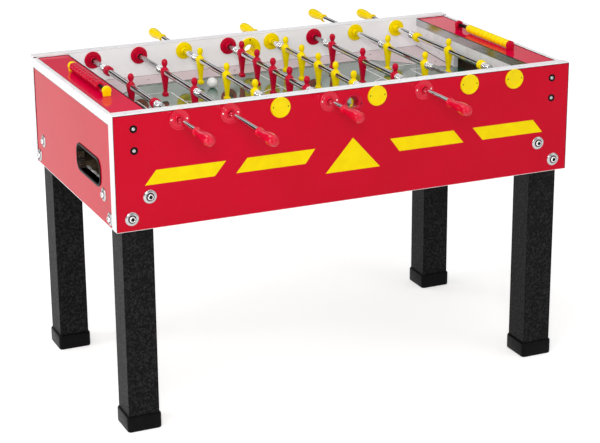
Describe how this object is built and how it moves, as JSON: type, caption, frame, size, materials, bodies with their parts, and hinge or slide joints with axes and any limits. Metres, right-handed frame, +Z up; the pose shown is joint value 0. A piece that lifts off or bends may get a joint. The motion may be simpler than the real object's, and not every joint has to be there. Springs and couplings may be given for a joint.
{
  "type": "foosball table",
  "caption": "Foosball table on square legs, with telescopic player rods of two teams, bumper springs, goals, ball return and sliding score beads.",
  "frame": {"origin": "on the floor, under the middle of the table", "axes": "+Z up, +X along the playfield, +Y along the rods from the red handles to the yellow handles"},
  "size_m": [1.442, 1.436, 0.962],
  "materials": {
    "red_laminate": "gloss laminated board",
    "white_laminate": "satin laminated board",
    "white_edging": "satin moulding",
    "field_laminate": "gloss laminated board with white lines",
    "ramp_laminate": "satin moulding",
    "raw_board": "unfinished board",
    "ball_plastic": "smooth moulded ball",
    "black_paint": "black wrinkle paint on a wooden post",
    "black_plastic": "satin moulding",
    "chrome": "polished chrome plate",
    "steel": "drawn bright steel",
    "aluminium": "satin anodised strip",
    "red_plastic": "gloss moulding",
    "yellow_plastic": "gloss moulding",
    "red_grip": "gloss moulded handle",
    "yellow_grip": "gloss moulded handle"
  },
  "bodies": {
    "cabinet": {"front_panel": "red_laminate", "back_panel": "red_laminate", "left_end_panel": "red_laminate", "right_end_panel": "red_laminate", "end_shelves": "red_laminate", "ball_window_frame": "black_plastic", "goal_walls": "white_laminate", "shelf_facings": "aluminium", "white_edgings": "white_edging", "playfield": "field_laminate", "playfield_battens": "raw_board", "side_ramps": "ramp_laminate", "bottom_board": "raw_board", "ball_return": "raw_board", "balls": "ball_plastic", "legs": "black_paint", "leg_boots": "black_plastic", "leg_bolts": "chrome", "cup_washers": "chrome", "red_rod_fittings": "red_plastic", "yellow_rod_fittings": "yellow_plastic", "red_ball_cup": "red_plastic", "yellow_ball_cup": "yellow_plastic", "red_counter_brackets": "red_plastic", "yellow_counter_brackets": "yellow_plastic", "counter_shafts": "black_plastic"},
    "red_goalkeeper_spindle": {"red_goalkeeper_inner_rod": "steel"},
    "red_goalkeeper": {"red_goalkeeper_rod": "chrome", "red_goalkeeper_players": "red_plastic", "red_goalkeeper_handle": "red_grip"},
    "red_defence_spindle": {"red_defence_inner_rod": "steel"},
    "red_defence": {"red_defence_rod": "chrome", "red_defence_players": "red_plastic", "red_defence_handle": "red_grip"},
    "yellow_attack_spindle": {"yellow_attack_inner_rod": "steel"},
    "yellow_attack": {"yellow_attack_rod": "chrome", "yellow_attack_players": "yellow_plastic", "yellow_attack_handle": "yellow_grip"},
    "red_midfield_spindle": {"red_midfield_inner_rod": "steel"},
    "red_midfield": {"red_midfield_rod": "chrome", "red_midfield_players": "red_plastic", "red_midfield_handle": "red_grip"},
    "yellow_midfield_spindle": {"yellow_midfield_inner_rod": "steel"},
    "yellow_midfield": {"yellow_midfield_rod": "chrome", "yellow_midfield_players": "yellow_plastic", "yellow_midfield_handle": "yellow_grip"},
    "red_attack_spindle": {"red_attack_inner_rod": "steel"},
    "red_attack": {"red_attack_rod": "chrome", "red_attack_players": "red_plastic", "red_attack_handle": "red_grip"},
    "yellow_defence_spindle": {"yellow_defence_inner_rod": "steel"},
    "yellow_defence": {"yellow_defence_rod": "chrome", "yellow_defence_players": "yellow_plastic", "yellow_defence_handle": "yellow_grip"},
    "yellow_goalkeeper_spindle": {"yellow_goalkeeper_inner_rod": "steel"},
    "yellow_goalkeeper": {"yellow_goalkeeper_rod": "chrome", "yellow_goalkeeper_players": "yellow_plastic", "yellow_goalkeeper_handle": "yellow_grip"},
    "red_score_beads": {"red_score_beads": "red_plastic"},
    "yellow_score_beads": {"yellow_score_beads": "yellow_plastic"}
  },
  "joints": [
    {"name": "red_goalkeeper_turn", "type": "hinge", "parent": "cabinet", "child": "red_goalkeeper_spindle", "pos_m": [-0.525, 0, 0.909], "axis": [0, 1, 0], "continuous": true},
    {"name": "red_goalkeeper_slide", "type": "slide", "parent": "red_goalkeeper_spindle", "child": "red_goalkeeper", "axis": [0, 1, 0], "range_m": [-0.0882, 0.0882]},
    {"name": "red_defence_turn", "type": "hinge", "parent": "cabinet", "child": "red_defence_spindle", "pos_m": [-0.375, 0, 0.909], "axis": [0, 1, 0], "continuous": true},
    {"name": "red_defence_slide", "type": "slide", "parent": "red_defence_spindle", "child": "red_defence", "axis": [0, 1, 0], "range_m": [-0.1694, 0.1694]},
    {"name": "yellow_attack_turn", "type": "hinge", "parent": "cabinet", "child": "yellow_attack_spindle", "pos_m": [-0.225, 0, 0.909], "axis": [0, 1, 0], "continuous": true},
    {"name": "yellow_attack_slide", "type": "slide", "parent": "yellow_attack_spindle", "child": "yellow_attack", "axis": [0, 1, 0], "range_m": [-0.0754, 0.0754]},
    {"name": "red_midfield_turn", "type": "hinge", "parent": "cabinet", "child": "red_midfield_spindle", "pos_m": [-0.075, 0, 0.909], "axis": [0, 1, 0], "continuous": true},
    {"name": "red_midfield_slide", "type": "slide", "parent": "red_midfield_spindle", "child": "red_midfield", "axis": [0, 1, 0], "range_m": [-0.0474, 0.0474]},
    {"name": "yellow_midfield_turn", "type": "hinge", "parent": "cabinet", "child": "yellow_midfield_spindle", "pos_m": [0.075, 0, 0.909], "axis": [0, 1, 0], "continuous": true},
    {"name": "yellow_midfield_slide", "type": "slide", "parent": "yellow_midfield_spindle", "child": "yellow_midfield", "axis": [0, 1, 0], "range_m": [-0.0474, 0.0474]},
    {"name": "red_attack_turn", "type": "hinge", "parent": "cabinet", "child": "red_attack_spindle", "pos_m": [0.225, 0, 0.909], "axis": [0, 1, 0], "continuous": true},
    {"name": "red_attack_slide", "type": "slide", "parent": "red_attack_spindle", "child": "red_attack", "axis": [0, 1, 0], "range_m": [-0.0754, 0.0754]},
    {"name": "yellow_defence_turn", "type": "hinge", "parent": "cabinet", "child": "yellow_defence_spindle", "pos_m": [0.375, 0, 0.909], "axis": [0, 1, 0], "continuous": true},
    {"name": "yellow_defence_slide", "type": "slide", "parent": "yellow_defence_spindle", "child": "yellow_defence", "axis": [0, 1, 0], "range_m": [-0.1694, 0.1694]},
    {"name": "yellow_goalkeeper_turn", "type": "hinge", "parent": "cabinet", "child": "yellow_goalkeeper_spindle", "pos_m": [0.525, 0, 0.909], "axis": [0, 1, 0], "continuous": true},
    {"name": "yellow_goalkeeper_slide", "type": "slide", "parent": "yellow_goalkeeper_spindle", "child": "yellow_goalkeeper", "axis": [0, 1, 0], "range_m": [-0.0882, 0.0882]},
    {"name": "red_beads_slide", "type": "slide", "parent": "cabinet", "child": "red_score_beads", "axis": [0, -1, 0], "range_m": [0, 0.0556]},
    {"name": "yellow_beads_slide", "type": "slide", "parent": "cabinet", "child": "yellow_score_beads", "axis": [0, 1, 0], "range_m": [0, 0.0556]}
  ]
}
